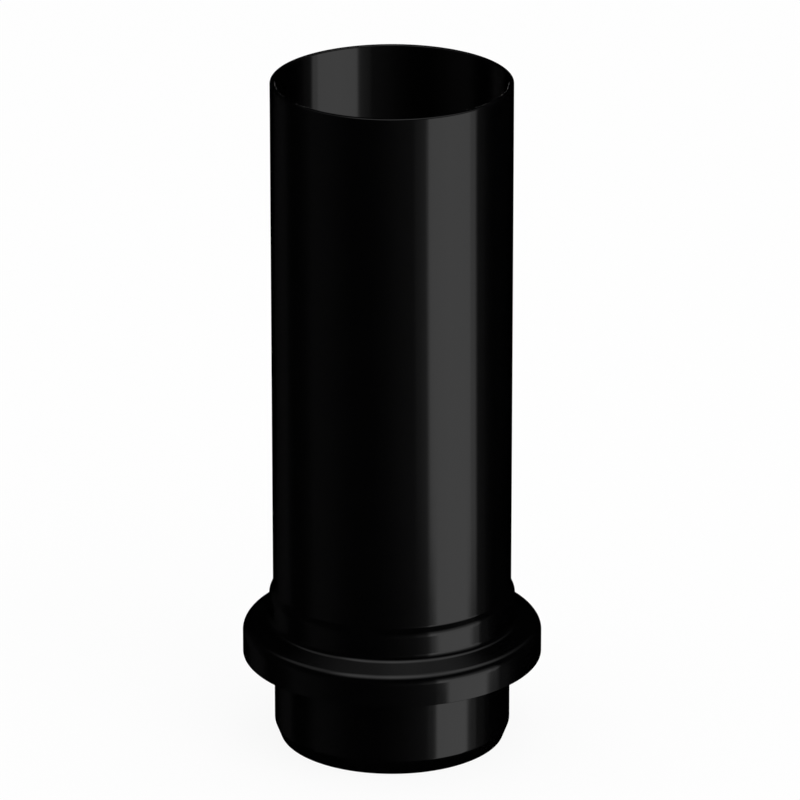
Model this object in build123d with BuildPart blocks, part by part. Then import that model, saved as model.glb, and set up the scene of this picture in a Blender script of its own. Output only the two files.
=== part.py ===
"""Downpipe shoe: a moulded upright tube with a thickened foot, a flange and a drain spigot.

The tube takes the end of a rainwater downpipe from above. The flange lies on the surround
of the drain, and the spigot below it stands in the drain's socket. The whole shoe is one
moulding, so it is one solid, turned about +Z with its origin at the centre of the spigot's end.
"""

import os

from build123d import *

# Driving sizes
spigot_diameter = 110.0
spigot_length = 41.0
flange_thickness = 18.0
flange_fall = 4.0
height_over_flange = 261.0
wall = 2.4

# How far each ring stands out from its neighbour, on the radius
tube_proud_of_spigot = 0.5
sleeve_proud_of_tube = 1.8
flange_proud_of_sleeve = 12.4
pipe_ledge = 2.0

# Radii of the rings
spigot_radius = spigot_diameter / 2
tube_radius = spigot_radius + tube_proud_of_spigot
sleeve_radius = tube_radius + sleeve_proud_of_tube
flange_radius = sleeve_radius + flange_proud_of_sleeve
socket_radius = tube_radius - wall
outlet_radius = socket_radius - pipe_ledge

# Heights of the small features
sleeve_height = 12.2
shoulder_height = 1.6 * sleeve_proud_of_tube
lead_in_height = 7.0
lead_in_depth = 0.7 * (spigot_radius - outlet_radius)

# Levels, measured up from the spigot's end
flange_top = spigot_length + flange_thickness
flange_shoulder = flange_top - flange_fall
sleeve_top = flange_top + sleeve_height
tube_foot = sleeve_top + shoulder_height
rim_level = flange_top + height_over_flange

# Rounding of the mould's edges
rim_round = 0.32 * wall
flange_round = 0.34 * (flange_thickness - flange_fall)
flange_root = 0.28 * sleeve_height
shoulder_round = 1.6 * shoulder_height
shoulder_hollow = 0.5 * shoulder_height
lead_in_round = 0.5 * lead_in_height
lip_round = 0.12 * wall


def rings_at(shoe, level):
    """The round edges of the shoe at one height, smallest first."""
    rings = shoe.edges().filter_by(GeomType.CIRCLE)
    return rings.filter_by_position(Axis.Z, level - 0.01, level + 0.01).sort_by(SortBy.RADIUS)


with BuildPart() as downpipe_shoe:
    # Half section of the wall, with every corner still sharp
    with BuildSketch(Plane.XZ):
        with BuildLine():
            Polyline(
                (outlet_radius, 0),
                (spigot_radius - lead_in_depth, 0),
                (spigot_radius, lead_in_height),
                (spigot_radius, spigot_length),
                (flange_radius, spigot_length),
                (flange_radius, flange_shoulder),
                (sleeve_radius, flange_top),
                (sleeve_radius, sleeve_top),
                (tube_radius, tube_foot),
                (tube_radius, rim_level),
                (socket_radius, rim_level),
                (socket_radius, flange_top),
                (outlet_radius, flange_top),
                close=True,
            )
        make_face()
    revolve(axis=Axis.Z)

    # Hollow root between the sleeve and the flange's sloping top, then its rounded upper edge
    fillet(rings_at(downpipe_shoe, flange_top)[-1], flange_root)
    fillet(rings_at(downpipe_shoe, flange_shoulder), flange_round)

    # The shoulder swells softly into the sleeve and starts crisply at the tube's foot
    fillet(rings_at(downpipe_shoe, sleeve_top), shoulder_round)
    fillet(rings_at(downpipe_shoe, tube_foot), shoulder_hollow)

    # Rounded rim, then the spigot's lead-in and its softened lip
    fillet(rings_at(downpipe_shoe, rim_level), rim_round)
    fillet(rings_at(downpipe_shoe, lead_in_height), lead_in_round)
    fillet(rings_at(downpipe_shoe, 0), lip_round)

downpipe_shoe.part.label = "downpipe_shoe"

os.makedirs("parts", exist_ok=True)
export_step(downpipe_shoe.part, "parts/downpipe_shoe.step")
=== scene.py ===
"""Dresses the downpipe shoe: one glossy near-black moulding, on a pale floor in a soft studio."""

from __future__ import annotations

import logging
import math
from dataclasses import dataclass, field
from enum import Enum
from typing import Any

import bmesh
import bpy
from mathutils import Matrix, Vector


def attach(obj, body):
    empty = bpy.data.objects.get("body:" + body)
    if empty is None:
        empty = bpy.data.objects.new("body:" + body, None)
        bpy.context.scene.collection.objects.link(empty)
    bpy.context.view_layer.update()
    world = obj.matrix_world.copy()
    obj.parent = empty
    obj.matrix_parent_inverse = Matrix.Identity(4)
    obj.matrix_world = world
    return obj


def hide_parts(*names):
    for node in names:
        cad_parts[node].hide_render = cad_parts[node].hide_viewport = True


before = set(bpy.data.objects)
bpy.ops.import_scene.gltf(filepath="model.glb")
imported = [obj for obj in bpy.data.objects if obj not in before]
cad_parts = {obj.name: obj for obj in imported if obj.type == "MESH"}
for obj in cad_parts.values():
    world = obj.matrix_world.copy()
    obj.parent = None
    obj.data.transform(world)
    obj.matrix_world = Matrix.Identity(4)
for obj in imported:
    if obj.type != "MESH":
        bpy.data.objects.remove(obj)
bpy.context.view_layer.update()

log = logging.getLogger("downpipe_shoe")

BODY = "root"
CAD_NODE = "downpipe_shoe"
MM = 0.001
RING_TOLERANCE = 0.02 * MM

Span = tuple[float, float]
Stops = tuple[Span, ...]
Way = tuple[float, float, float]
Colour = tuple[float, float, float, float]


class Ray(Enum):
    """The kinds of ray that a light path tells apart."""

    CAMERA = "Is Camera Ray"
    GLOSSY = "Is Glossy Ray"


class Signal:
    """A number that runs through a node tree, with Python's arithmetic on it."""

    def __init__(self, bench: NodeBench, socket: bpy.types.NodeSocket) -> None:
        """Wraps one output socket.

        Args:
            bench: The bench whose tree holds the socket.
            socket: The output socket that carries the number.
        """
        self.bench = bench
        self.socket = socket

    def _with(self, operation: str, *values: Any) -> Signal:
        """Adds one Math node.

        Args:
            operation: The Math node's operation.
            values: Its inputs in order, as numbers or signals.

        Returns:
            The node's result.
        """
        node = self.bench.node(
            "ShaderNodeMath", {"operation": operation}, dict(enumerate(values))
        )
        return Signal(self.bench, node.outputs[0])

    def __add__(self, other: Any) -> Signal:
        """Self plus other."""
        return self._with("ADD", self, other)

    def __sub__(self, other: Any) -> Signal:
        """Self minus other."""
        return self._with("SUBTRACT", self, other)

    def __mul__(self, other: Any) -> Signal:
        """Self times other."""
        return self._with("MULTIPLY", self, other)

    def __rsub__(self, other: Any) -> Signal:
        """Other minus self."""
        return self._with("SUBTRACT", other, self)

    def bearing(self, forward: Signal) -> Signal:
        """The compass angle of a direction.

        Args:
            forward: How far the direction points forward, where self is how far to the right.

        Returns:
            The angle in degrees, 0 straight forward and positive to the right.
        """
        return self._with("DEGREES", self._with("ARCTAN2", self, forward))

    def spread(self, low: float, high: float, at_low: float = 0.0, at_high: float = 1.0) -> Signal:
        """Carries a range of this number to another range, and stops at its ends.

        Args:
            low: Start of the range.
            high: End of the range.
            at_low: The result at its start.
            at_high: The result at its end.

        Returns:
            The carried number.
        """
        node = self.bench.node(
            "ShaderNodeMapRange",
            {"clamp": True},
            {
                "Value": self,
                "From Min": low,
                "From Max": high,
                "To Min": at_low,
                "To Max": at_high,
            },
        )
        return Signal(self.bench, node.outputs["Result"])

    def ramp(self, stops: Stops) -> Signal:
        """Reads a level off a ramp.

        Args:
            stops: Pairs of this number and level, lowest number first.

        Returns:
            The level at this number.
        """
        low, high = stops[0][0], stops[-1][0]
        shares = [((place - low) / (high - low), level) for place, level in stops]
        node = self.bench.node(
            "ShaderNodeValToRGB", {"stops": shares}, {"Fac": self.spread(low, high)}
        )
        return Signal(self.bench, node.outputs["Color"])

    __radd__ = __add__
    __rmul__ = __mul__


class NodeBench:
    """Builds one node tree, node by node."""

    def __init__(self, tree: bpy.types.NodeTree) -> None:
        """Takes a tree and empties it.

        Args:
            tree: The node tree of a material or a world.
        """
        self.tree = tree
        self.tree.nodes.clear()

    def node(
        self,
        kind: str,
        settings: dict[str, Any] | None = None,
        inputs: dict[str | int, Any] | None = None,
    ) -> bpy.types.Node:
        """Adds a node, sets it, then fills its sockets.

        Args:
            kind: The node's type, such as ShaderNodeTexNoise.
            settings: The node's own properties, and "stops" for a ramp's stops.
            inputs: Values, signals or output sockets, by socket name or number.

        Returns:
            The new node.
        """
        made = self.tree.nodes.new(kind)
        for name, value in (settings or {}).items():
            if name == "stops":
                self._fill_ramp(made.color_ramp, value)
            else:
                setattr(made, name, value)
        for name, value in (inputs or {}).items():
            if isinstance(value, Signal):
                value = value.socket
            if isinstance(value, bpy.types.NodeSocket):
                self.tree.links.new(value, made.inputs[name])
            else:
                made.inputs[name].default_value = value
        return made

    def signal(self, node: bpy.types.Node, output: str | int = 0) -> Signal:
        """One output of a node, ready for arithmetic."""
        return Signal(self, node.outputs[output])

    def ray(self, kind: Ray) -> Signal:
        """A signal that is 1 for that kind of ray and 0 for the others."""
        return self.signal(self.node("ShaderNodeLightPath"), kind.value)

    @staticmethod
    def _fill_ramp(ramp: bpy.types.ColorRamp, stops: list[Span]) -> None:
        """Sets a ramp's stops.

        Args:
            ramp: The ramp of a Color Ramp node, with its two first stops.
            stops: Pairs of place and level, lowest place first.
        """
        while len(ramp.elements) < len(stops):
            ramp.elements.new(0.5)
        for stop, (place, level) in zip(ramp.elements, stops):
            stop.position = place
            stop.color = (level, level, level, 1.0)


def grey(level: float) -> Colour:
    """A neutral colour of that level, fully opaque."""
    return (level, level, level, 1.0)


@dataclass(frozen=True)
class SkinPattern:
    """A noise pattern in the plastic's skin, which stays with the shoe.

    Args:
        scale: Patches per metre.
        detail: Number of finer layers.
        fineness: Strength of the finer layers.
        swell: The pattern's weight in the skin's waviness.
        stretch: Scale along each axis before the noise, below 1 to draw it out.
    """

    scale: float
    detail: float
    fineness: float
    swell: float
    stretch: Way = (1.0, 1.0, 1.0)

    def over(self, bench: NodeBench, place: bpy.types.NodeSocket) -> Signal:
        """Lays the pattern over the shoe.

        Args:
            bench: The bench to build on.
            place: The Object coordinates.

        Returns:
            The noise, from 0 to 1.
        """
        mapped = bench.node("ShaderNodeMapping", None, {"Vector": place, "Scale": self.stretch})
        noise = bench.node(
            "ShaderNodeTexNoise",
            None,
            {
                "Vector": mapped.outputs["Vector"],
                "Scale": self.scale,
                "Detail": self.detail,
                "Roughness": self.fineness,
            },
        )
        return bench.signal(noise, "Fac")


@dataclass(frozen=True)
class MouldedPlastic:
    """The shoe's finish: near-black plastic from a polished mould.

    Args:
        name: The material's name.
        darkest: Colour where the pigment lies densest.
        lightest: Colour where it lies thinnest.
        clouds: Cloudy patches, as the plastic flowed into the mould.
        draw_lines: Fine upright lines from drawing the shoe off the mould.
        grain: The finest unevenness of the skin.
        gloss_roughness: Roughness of the polished skin.
        cloud_roughness: What the cloudy patches add to it.
        draw_roughness: What the draw lines add to it.
        index: Index of refraction of the plastic.
        relief: Height of the waviness where the patterns add up to 1, in metres.
    """

    name: str = "shoe_plastic"
    darkest: Colour = (0.0005, 0.0005, 0.0006, 1.0)
    lightest: Colour = (0.0011, 0.0011, 0.0012, 1.0)
    clouds: SkinPattern = SkinPattern(85.0, 4.0, 0.6, swell=0.6)
    draw_lines: SkinPattern = SkinPattern(420.0, 3.0, 0.5, swell=0.8, stretch=(1.0, 1.0, 0.012))
    grain: SkinPattern = SkinPattern(2600.0, 2.0, 0.5, swell=0.05)
    gloss_roughness: float = 0.05
    cloud_roughness: float = 0.04
    draw_roughness: float = 0.03
    index: float = 1.5
    relief: float = 0.008 * MM

    def material(self) -> bpy.types.Material:
        """Builds the plastic's node tree.

        Returns:
            The finished material.
        """
        made = bpy.data.materials.new(self.name)
        made.use_nodes = True
        bench = NodeBench(made.node_tree)
        place = bench.node("ShaderNodeTexCoord").outputs["Object"]

        clouds = self.clouds.over(bench, place)
        draw_lines = self.draw_lines.over(bench, place)
        grain = self.grain.over(bench, place)

        tint = bench.node(
            "ShaderNodeMix",
            {"data_type": "RGBA"},
            {"Factor": clouds, "A": self.darkest, "B": self.lightest},
        )
        roughness = (
            self.gloss_roughness
            + clouds * self.cloud_roughness
            + draw_lines * self.draw_roughness
        )
        waviness = (
            draw_lines * self.draw_lines.swell
            + grain * self.grain.swell
            + clouds * self.clouds.swell
        )
        skin = bench.node(
            "ShaderNodeBump", None, {"Strength": 1.0, "Distance": self.relief, "Height": waviness}
        )
        plastic = bench.node(
            "ShaderNodeBsdfPrincipled",
            None,
            {
                "Base Color": tint.outputs["Result"],
                "Roughness": roughness,
                "IOR": self.index,
                "Normal": skin.outputs["Normal"],
            },
        )
        bench.node("ShaderNodeOutputMaterial", None, {"Surface": plastic.outputs["BSDF"]})
        return made


@dataclass(frozen=True)
class Corner:
    """A corner of the wall's half section, which turns into a round edge of the shoe.

    Args:
        radius: Its distance from the axis, in metres.
        level: Its height, in metres.
        rounding: Radius that the mould gives it, in metres, or 0 where it stays sharp.
        steps: Number of facets across the rounding.
    """

    radius: float
    level: float
    rounding: float = 0.0
    steps: int = 0

    def holds(self, edge: bmesh.types.BMEdge) -> bool:
        """Whether an edge lies on this corner's ring."""
        return all(
            abs(v.co.z - self.level) < RING_TOLERANCE
            and abs(v.co.xy.length - self.radius) < RING_TOLERANCE
            for v in edge.verts
        )

    def reach(self, before: Corner, after: Corner) -> float:
        """How far the rounding runs along each wall.

        Args:
            before: The corner before this one.
            after: The corner after this one.

        Returns:
            The distance from the sharp corner, in metres.
        """
        here = Vector((self.radius, self.level))
        way_in = here - Vector((before.radius, before.level))
        way_out = Vector((after.radius, after.level)) - here
        return self.rounding * math.tan(way_in.angle(way_out) / 2)


@dataclass
class DownpipeShoe:
    """The moulding: tube, sleeve, flange and spigot in one turned wall.

    The sizes are the CAD model's, in metres. Only crisp_round is added, on edges sharp there.

    Args:
        around: Number of facets around the shoe.
        flat_weight: How strongly the large faces steer the shading of the small ones.
        spigot_radius: Outer radius of the spigot.
        spigot_length: From the spigot's end to the flange's underside.
        flange_thickness: From the flange's underside to the foot of the sleeve.
        flange_fall: How far the flange's upper face falls towards its edge.
        height_over_flange: From the foot of the sleeve to the rim.
        wall: Thickness of the tube's wall.
        tube_proud: How far the tube stands out from the spigot.
        sleeve_proud: How far the sleeve stands out from the tube.
        flange_proud: How far the flange stands out from the sleeve.
        pipe_ledge: Width of the ledge inside that the downpipe can stand on.
        sleeve_height: From the foot of the sleeve to the foot of its shoulder.
        shoulder_height: Height of the slope from the sleeve in to the tube.
        lead_in_height: Height of the taper at the spigot's end.
        lead_in_depth: How far the taper goes in.
        rim_round: Rounding of the rim's two edges.
        flange_round: Rounding of the flange's upper edge.
        flange_root: Hollow between the sleeve and the flange.
        shoulder_round: Rounding from the sleeve into the shoulder.
        shoulder_hollow: Hollow from the shoulder into the tube.
        lead_in_round: Rounding from the spigot's side into its taper.
        lip_round: Rounding of the two edges at the spigot's end.
        crisp_round: Touch of rounding on the edges that are sharp in the CAD model.
        finish: The plastic that the shoe is moulded in.
    """

    around: int = 288
    flat_weight: int = 100
    spigot_radius: float = 55.0 * MM
    spigot_length: float = 41.0 * MM
    flange_thickness: float = 18.0 * MM
    flange_fall: float = 4.0 * MM
    height_over_flange: float = 261.0 * MM
    wall: float = 2.4 * MM
    tube_proud: float = 0.5 * MM
    sleeve_proud: float = 1.8 * MM
    flange_proud: float = 12.4 * MM
    pipe_ledge: float = 2.0 * MM
    sleeve_height: float = 12.2 * MM
    shoulder_height: float = 2.88 * MM
    lead_in_height: float = 7.0 * MM
    lead_in_depth: float = 2.73 * MM
    rim_round: float = 0.768 * MM
    flange_round: float = 4.76 * MM
    flange_root: float = 3.416 * MM
    shoulder_round: float = 4.608 * MM
    shoulder_hollow: float = 1.44 * MM
    lead_in_round: float = 3.5 * MM
    lip_round: float = 0.288 * MM
    crisp_round: float = 0.2 * MM
    finish: MouldedPlastic = field(default_factory=MouldedPlastic)

    def corners(self) -> list[Corner]:
        """The corners of the wall's half section, from the lip up the outside and back down."""
        tube = self.spigot_radius + self.tube_proud
        sleeve = tube + self.sleeve_proud
        flange = sleeve + self.flange_proud
        socket = tube - self.wall
        outlet = socket - self.pipe_ledge
        flange_top = self.spigot_length + self.flange_thickness
        sleeve_top = flange_top + self.sleeve_height
        rim = flange_top + self.height_over_flange
        crisp = self.crisp_round
        return [
            Corner(outlet, 0.0, self.lip_round, steps=3),
            Corner(self.spigot_radius - self.lead_in_depth, 0.0, self.lip_round, steps=3),
            Corner(self.spigot_radius, self.lead_in_height, self.lead_in_round, steps=4),
            Corner(self.spigot_radius, self.spigot_length, crisp, steps=2),
            Corner(flange, self.spigot_length, crisp, steps=3),
            Corner(flange, flange_top - self.flange_fall, self.flange_round, steps=12),
            Corner(sleeve, flange_top, self.flange_root, steps=10),
            Corner(sleeve, sleeve_top, self.shoulder_round, steps=6),
            Corner(tube, sleeve_top + self.shoulder_height, self.shoulder_hollow, steps=4),
            Corner(tube, rim, self.rim_round, steps=6),
            Corner(socket, rim, self.rim_round, steps=6),
            Corner(socket, flange_top),
            Corner(outlet, flange_top, crisp, steps=2),
        ]

    def build(self) -> bpy.types.Object:
        """Turns the wall, rounds its edges and dresses it.

        Returns:
            The finished piece.
        """
        shell = bmesh.new()
        self._turn_wall(shell)
        self._round_edges(shell)
        mesh = bpy.data.meshes.new("shoe_moulding")
        shell.to_mesh(mesh)
        shell.free()
        mesh.shade_smooth()
        piece = bpy.data.objects.new("shoe_moulding", mesh)
        bpy.context.scene.collection.objects.link(piece)
        smoother = piece.modifiers.new("flat_walls_stay_flat", "WEIGHTED_NORMAL")
        smoother.weight = self.flat_weight
        mesh.materials.append(self.finish.material())
        # The walls mirror the studio alone, as in the photo, and not the shoe's other walls
        piece.visible_glossy = False
        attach(piece, BODY)
        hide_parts(CAD_NODE)
        return piece

    def _turn_wall(self, shell: bmesh.types.BMesh) -> None:
        """Spins the half section about the shoe's axis.

        Args:
            shell: The empty mesh to fill.
        """
        points = [shell.verts.new((c.radius, 0.0, c.level)) for c in self.corners()]
        lines = [
            shell.edges.new((start, end)) for start, end in zip(points, points[1:] + points[:1])
        ]
        bmesh.ops.spin(
            shell,
            geom=points + lines,
            cent=(0.0, 0.0, 0.0),
            axis=(0.0, 0.0, 1.0),
            dvec=(0.0, 0.0, 0.0),
            angle=math.tau,
            steps=self.around,
            use_merge=True,
        )
        bmesh.ops.recalc_face_normals(shell, faces=shell.faces)

    def _round_edges(self, shell: bmesh.types.BMesh) -> None:
        """Rounds each ring of the wall that has a rounding.

        Args:
            shell: The turned wall, with sharp rings.
        """
        ring = self.corners()
        for before, corner, after in zip(ring[-1:] + ring[:-1], ring, ring[1:] + ring[:1]):
            if corner.rounding:
                bmesh.ops.bevel(
                    shell,
                    geom=[edge for edge in shell.edges if corner.holds(edge)],
                    offset=corner.reach(before, after),
                    offset_type="OFFSET",
                    affect="EDGES",
                    segments=corner.steps,
                    profile=0.5,
                    material=-1,
                    clamp_overlap=True,
                )
        bmesh.ops.recalc_face_normals(shell, faces=shell.faces)


@dataclass(frozen=True)
class DarkStudio:
    """The dark studio that the shoe's gloss mirrors, set by the ray's direction in the world.

    A tall softbox stands on the right with a faint fill around it, a light arch hangs overhead,
    and a narrow softbox stands behind the shoe.

    Compass angles are in degrees, 0 straight to the front and positive to the right. Rises are
    the height of a ray's direction, from -1 straight down to 1 straight up. A ramp is given as
    pairs of the number along it and the glow there.

    Args:
        side_glow: Glow of the tall softbox on the right at its middle.
        fill: Faint fill along the compass, up to the softbox.
        left_edge: What the softbox's near edge adds to the fill along the compass.
        right_edge: Share of the glow along the compass from the softbox's middle outward.
        lean: Degrees by which both edges move, at the softbox's foot and above it.
        lean_span: The rises between which they lean.
        fill_kick: Degrees by which the fill moves further at the very foot.
        fill_kick_span: The rises between which it does so.
        fill_kick_reach: The compass angles between which that move sets in.
        kick: Degrees by which the near edge moves further at the very foot.
        kick_span: The rises between which it does so.
        flare: Degrees by which the far edge moves further at the very foot.
        flare_span: The rises between which it does so.
        corner_dim: Share of the glow that the softbox's far lower corner lacks.
        corner_span: The compass angles between which the glow drops there.
        corner_end: The compass angles between which the drop ends again.
        corner_cut: Degrees by which the drop sets in later towards the corner's upper end.
        corner_rise: The rises between which it does so.
        side_span: Glow of the softbox along the rise.
        arch_axis: Direction that the arch bends around.
        arch_front: Direction square to it, towards the arch's crown.
        arch_pinch: How strongly the arch's two ends bend in towards the axis.
        arch_across: Glow of the arch along the cosine of the angle from its axis.
        arch_along: Glow of the arch along its bend, in degrees from the crown.
        back_glow: Faint glow inside the arch, along the ray's way to the right.
        back_span: The cosines from the axis between which it sets in.
        rear_box: Glow of the softbox behind the shoe, in degrees from straight behind.
        rear_rise: Glow of that softbox along the rise.
    """

    side_glow: float = 1.14
    fill: Stops = (
        (-150.0, 0.0), (-141.0, 0.006), (-129.0, 0.013), (-121.0, 0.015), (-113.0, 0.003),
        (-107.0, 0.0), (-95.0, 0.001), (-88.0, 0.009), (-80.0, 0.025), (-72.0, 0.026),
        (-60.0, 0.021), (-50.0, 0.011), (-36.0, 0.001), (-18.0, 0.003), (-4.0, 0.017),
        (8.0, 0.040), (21.0, 0.060), (22.7, 0.075), (24.3, 0.125), (28.0, 0.15), (30.5, 0.19),
        (32.8, 0.20),
    )
    left_edge: Stops = (
        (32.8, 0.0), (34.2, 0.07), (35.2, 0.26), (36.2, 0.52), (37.2, 0.75), (38.2, 0.80),
    )
    right_edge: Stops = (
        (58.0, 1.0), (70.0, 0.94), (80.4, 0.86), (82.2, 0.60), (86.2, 0.60), (87.5, 0.49),
        (88.8, 0.26), (90.0, 0.11), (91.0, 0.060), (94.0, 0.048), (99.0, 0.036),
        (102.0, 0.016), (108.0, 0.004), (114.0, 0.0),
    )
    lean: Span = (0.2, -1.9)
    lean_span: Span = (-0.368, -0.321)
    fill_kick: Span = (11.6, 0.0)
    fill_kick_span: Span = (-0.386, -0.372)
    fill_kick_reach: Span = (-40.0, 8.0)
    kick: Span = (8.0, 0.0)
    kick_span: Span = (-0.386, -0.372)
    flare: Span = (2.2, 0.0)
    flare_span: Span = (-0.383, -0.370)
    corner_dim: float = 0.72
    corner_span: Span = (77.2, 81.6)
    corner_end: Span = (89.0, 92.0)
    corner_cut: Span = (0.0, 60.0)
    corner_rise: Span = (-0.3835, -0.351)
    side_span: Stops = (
        (-0.64, 0.0), (-0.58, 1.0), (0.0, 0.95), (0.09, 0.62), (0.18, 0.44), (0.30, 0.26),
        (0.42, 0.08), (0.55, 0.02), (0.75, 0.0),
    )
    arch_axis: Way = (-0.03, 0.47, 0.882)
    arch_front: Way = (0.0, -0.883, 0.47)
    arch_pinch: float = 0.8
    arch_across: Stops = (
        (0.24, 0.0), (0.31, 0.02), (0.42, 0.13), (0.54, 0.45), (0.65, 0.88), (0.71, 1.0),
        (0.79, 1.0), (0.84, 0.92), (0.906, 0.60), (0.95, 0.36), (0.975, 0.20), (0.99, 0.03),
        (1.0, 0.0),
    )
    arch_along: Stops = (
        (-115.0, 0.0), (-99.0, 0.05), (-90.0, 0.16), (-84.0, 0.24), (-66.0, 0.32),
        (-56.0, 0.36), (-46.0, 0.34), (-36.0, 0.72), (-28.0, 0.92), (-12.0, 0.88), (0.0, 1.08),
        (18.0, 1.02), (28.0, 0.85), (54.0, 0.88), (69.0, 0.66), (82.0, 0.50), (95.0, 0.20),
        (110.0, 0.08), (125.0, 0.03), (140.0, 0.0),
    )
    back_glow: Stops = (
        (-0.42, 0.0), (-0.34, 0.02), (-0.26, 0.035), (-0.21, 0.06), (-0.11, 0.11),
        (-0.05, 0.13), (0.0, 0.18), (0.06, 0.21), (0.12, 0.18), (0.17, 0.21), (0.21, 0.20),
        (0.26, 0.08), (0.31, 0.02), (0.36, 0.0),
    )
    back_span: Span = (0.92, 0.985)
    rear_box: Stops = ((-12.0, 0.0), (-8.0, 0.8), (8.0, 0.8), (12.0, 0.0))
    rear_rise: Stops = ((-0.287, 0.0), (-0.272, 1.0), (-0.225, 1.0), (-0.205, 0.0))

    def glow(self, bench: NodeBench) -> Signal:
        """Builds the glow in every direction.

        Args:
            bench: The bench of the world's tree.

        Returns:
            The glow that a ray meets.
        """
        ray = bench.node("ShaderNodeTexCoord").outputs["Generated"]
        axes = bench.node("ShaderNodeSeparateXYZ", None, {"Vector": ray})
        right, back, rise = (bench.signal(axes, name) for name in ("X", "Y", "Z"))
        side = self._side(right.bearing(back * -1.0), rise)
        rear = right.bearing(back).ramp(self.rear_box) * rise.ramp(self.rear_rise)
        return side + rear + self._overhead(bench, ray, right)

    def _side(self, compass: Signal, rise: Signal) -> Signal:
        """The glow of the tall softbox on the right and of the fill around it.

        Args:
            compass: The ray's compass angle.
            rise: The ray's rise.

        Returns:
            The glow from the sides.
        """
        upright = compass - rise.spread(*self.lean_span, *self.lean)
        foot = rise.spread(*self.fill_kick_span, *self.fill_kick)
        faint = upright - foot * compass.spread(*self.fill_kick_reach)
        kicked = upright - rise.spread(*self.kick_span, *self.kick)
        flared = upright - rise.spread(*self.flare_span, *self.flare)
        cut = compass - rise.spread(*self.corner_rise, *self.corner_cut)
        corner = cut.spread(*self.corner_span) * flared.spread(*self.corner_end, 1.0, 0.0)
        near_edge = faint.ramp(self.fill) + kicked.ramp(self.left_edge)
        along = near_edge * flared.ramp(self.right_edge)
        lit = along * (1.0 - corner * self.corner_dim)
        return lit * rise.ramp(self.side_span) * self.side_glow

    def _overhead(self, bench: NodeBench, ray: bpy.types.NodeSocket, right: Signal) -> Signal:
        """The glow of the arch overhead and of the faint light inside its bend.

        Args:
            bench: The bench of the world's tree.
            ray: The ray's direction.
            right: The ray's way to the right.

        Returns:
            The overhead glow.
        """
        near = self._share(bench, ray, self.arch_axis)
        bend = right.bearing(self._share(bench, ray, self.arch_front))
        outward = right * right
        pinched = near - outward * outward * self.arch_pinch
        arch = pinched.ramp(self.arch_across) * bend.ramp(self.arch_along)
        return arch + right.ramp(self.back_glow) * near.spread(*self.back_span)

    @staticmethod
    def _share(bench: NodeBench, ray: bpy.types.NodeSocket, way: Way) -> Signal:
        """How much of a ray runs along a direction.

        Args:
            bench: The bench of the world's tree.
            ray: The ray's direction.
            way: The other direction.

        Returns:
            The cosine of the angle between them.
        """
        product = bench.node(
            "ShaderNodeVectorMath", {"operation": "DOT_PRODUCT"}, {0: ray, 1: way}
        )
        return bench.signal(product, "Value")


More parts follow.
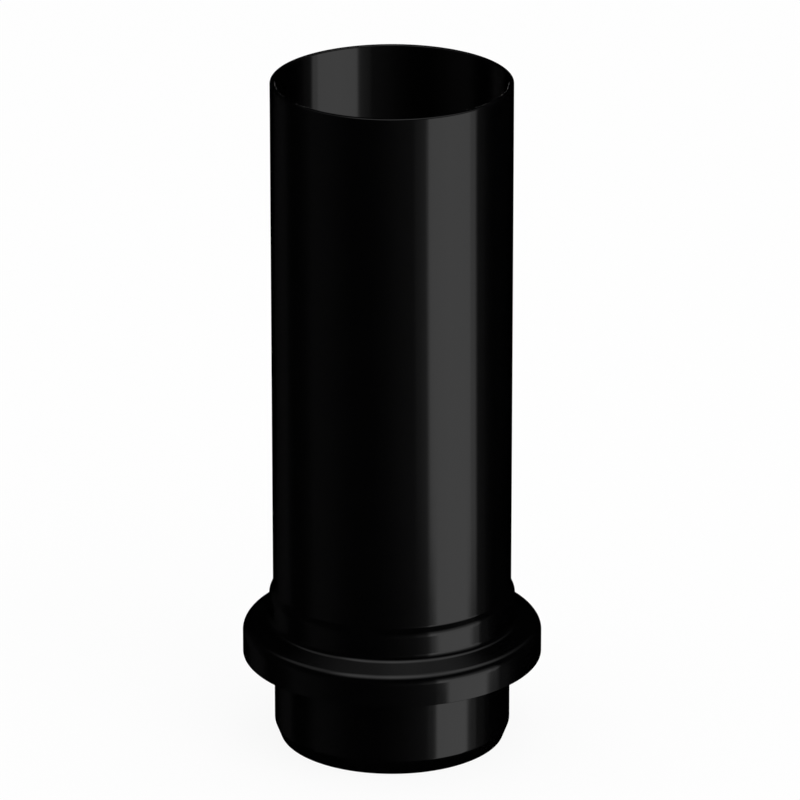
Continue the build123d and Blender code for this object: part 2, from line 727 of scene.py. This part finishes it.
@dataclass
class Studio:
    """The pale floor, the room's plain light, the soft lamp and what the gloss mirrors.

    Args:
        floor_radius: Radius of the floor, in metres.
        floor_facets: Number of facets around it.
        floor_level: Colour of the floor.
        floor_white: Share of plain white in what the camera sees of the floor.
        room_level: Light of the room on everything matt, where 1 is white.
        lamp_power: Power of the soft lamp, in watts.
        lamp_side: Side of the square lamp, in metres.
        lamp_place: Where the lamp hangs, in metres.
        mirrored: The surroundings that the gloss mirrors.
    """

    floor_radius: float = 6.0
    floor_facets: int = 128
    floor_level: float = 0.92
    floor_white: float = 0.9
    room_level: float = 0.9
    lamp_power: float = 14.0
    lamp_side: float = 1.6
    lamp_place: Way = (1.1, -1.3, 2.0)
    mirrored: DarkStudio = field(default_factory=DarkStudio)

    def build(self) -> None:
        """Makes the floor, the room's light and the lamp."""
        self._floor()
        self._room()
        self._lamp()

    def _floor(self) -> None:
        """Lays a round pale floor under the shoe, which the camera sees nearly white."""
        disc = bmesh.new()
        bmesh.ops.create_circle(
            disc, cap_ends=True, segments=self.floor_facets, radius=self.floor_radius
        )
        mesh = bpy.data.meshes.new("floor")
        disc.to_mesh(mesh)
        disc.free()
        made = bpy.data.materials.new("pale_floor")
        made.use_nodes = True
        bench = NodeBench(made.node_tree)
        paint = bench.node("ShaderNodeBsdfDiffuse", None, {"Color": grey(self.floor_level)})
        white = bench.node("ShaderNodeEmission", None, {"Color": grey(1.0)})
        mix = bench.node(
            "ShaderNodeMixShader",
            None,
            {
                0: bench.ray(Ray.CAMERA) * self.floor_white,
                1: paint.outputs["BSDF"],
                2: white.outputs["Emission"],
            },
        )
        bench.node("ShaderNodeOutputMaterial", None, {"Surface": mix.outputs["Shader"]})
        made.cycles.emission_sampling = "NONE"
        mesh.materials.append(made)
        floor = bpy.data.objects.new("floor", mesh)
        bpy.context.scene.collection.objects.link(floor)
        floor.visible_glossy = False

    def _room(self) -> None:
        """Sets the world: white to the camera, soft light on matt surfaces, dark in the gloss."""
        world = bpy.data.worlds.new("studio_room")
        world.use_nodes = True
        world.cycles.sampling_method = "NONE"
        bench = NodeBench(world.node_tree)
        level = self.room_level + bench.ray(Ray.CAMERA) * (1.0 - self.room_level)
        bright = bench.node("ShaderNodeBackground", None, {"Strength": level})
        dark = bench.node("ShaderNodeBackground", None, {"Strength": self.mirrored.glow(bench)})
        for background in (bright, dark):
            background.inputs["Color"].default_value = grey(1.0)
        mix = bench.node(
            "ShaderNodeMixShader",
            None,
            {
                0: bench.ray(Ray.GLOSSY),
                1: bright.outputs["Background"],
                2: dark.outputs["Background"],
            },
        )
        bench.node("ShaderNodeOutputWorld", None, {"Surface": mix.outputs["Shader"]})
        bpy.context.scene.world = world

    def _lamp(self) -> None:
        """Hangs the soft lamp to the front right, above the shoe."""
        light = bpy.data.lights.new("soft_lamp", "AREA")
        light.shape = "SQUARE"
        light.size = self.lamp_side
        light.energy = self.lamp_power
        lamp = bpy.data.objects.new("soft_lamp", light)
        lamp.location = self.lamp_place
        lamp.rotation_euler = Vector(self.lamp_place).to_track_quat("Z", "Y").to_euler()
        lamp.visible_glossy = False
        lamp.visible_camera = False
        bpy.context.scene.collection.objects.link(lamp)


@dataclass(frozen=True)
class CameraStand:
    """The camera: a long lens, a little above the shoe and looking down on it.

    Args:
        distance: From the aimed point to the camera, in metres.
        pitch: How far the camera looks down, in degrees.
        lens: Focal length, in millimetres.
        sensor: Width of the camera's sensor, in millimetres.
        reach: The farthest distance that it sees, in metres.
        aim: The aimed point, in metres.
    """

    distance: float = 3.2
    pitch: float = 20.74
    lens: float = 312.1
    sensor: float = 36.0
    reach: float = 50.0
    aim: Way = (3.70 * MM, 0.0, 165.33 * MM)

    def build(self) -> bpy.types.Object:
        """Sets the camera up and makes it the scene's own.

        Returns:
            The camera.
        """
        data = bpy.data.cameras.new("camera")
        data.sensor_width = self.sensor
        data.lens = self.lens
        data.clip_end = self.reach
        camera = bpy.data.objects.new("camera", data)
        tilt = math.radians(self.pitch)
        back = Vector((0.0, -math.cos(tilt), math.sin(tilt)))
        camera.location = Vector(self.aim) + back * self.distance
        camera.rotation_euler = (math.pi / 2 - tilt, 0.0, 0.0)
        bpy.context.scene.collection.objects.link(camera)
        bpy.context.scene.camera = camera
        return camera


def main() -> None:
    """Builds the camera, the shoe and the studio, in that order."""
    bpy.context.scene.view_settings.view_transform = "Standard"
    CameraStand().build()
    piece = DownpipeShoe().build()
    log.info("piece %s has %d faces", piece.name, len(piece.data.polygons))
    Studio().build()


if __name__ == "__main__":
    logging.basicConfig(level=logging.INFO)
    main()
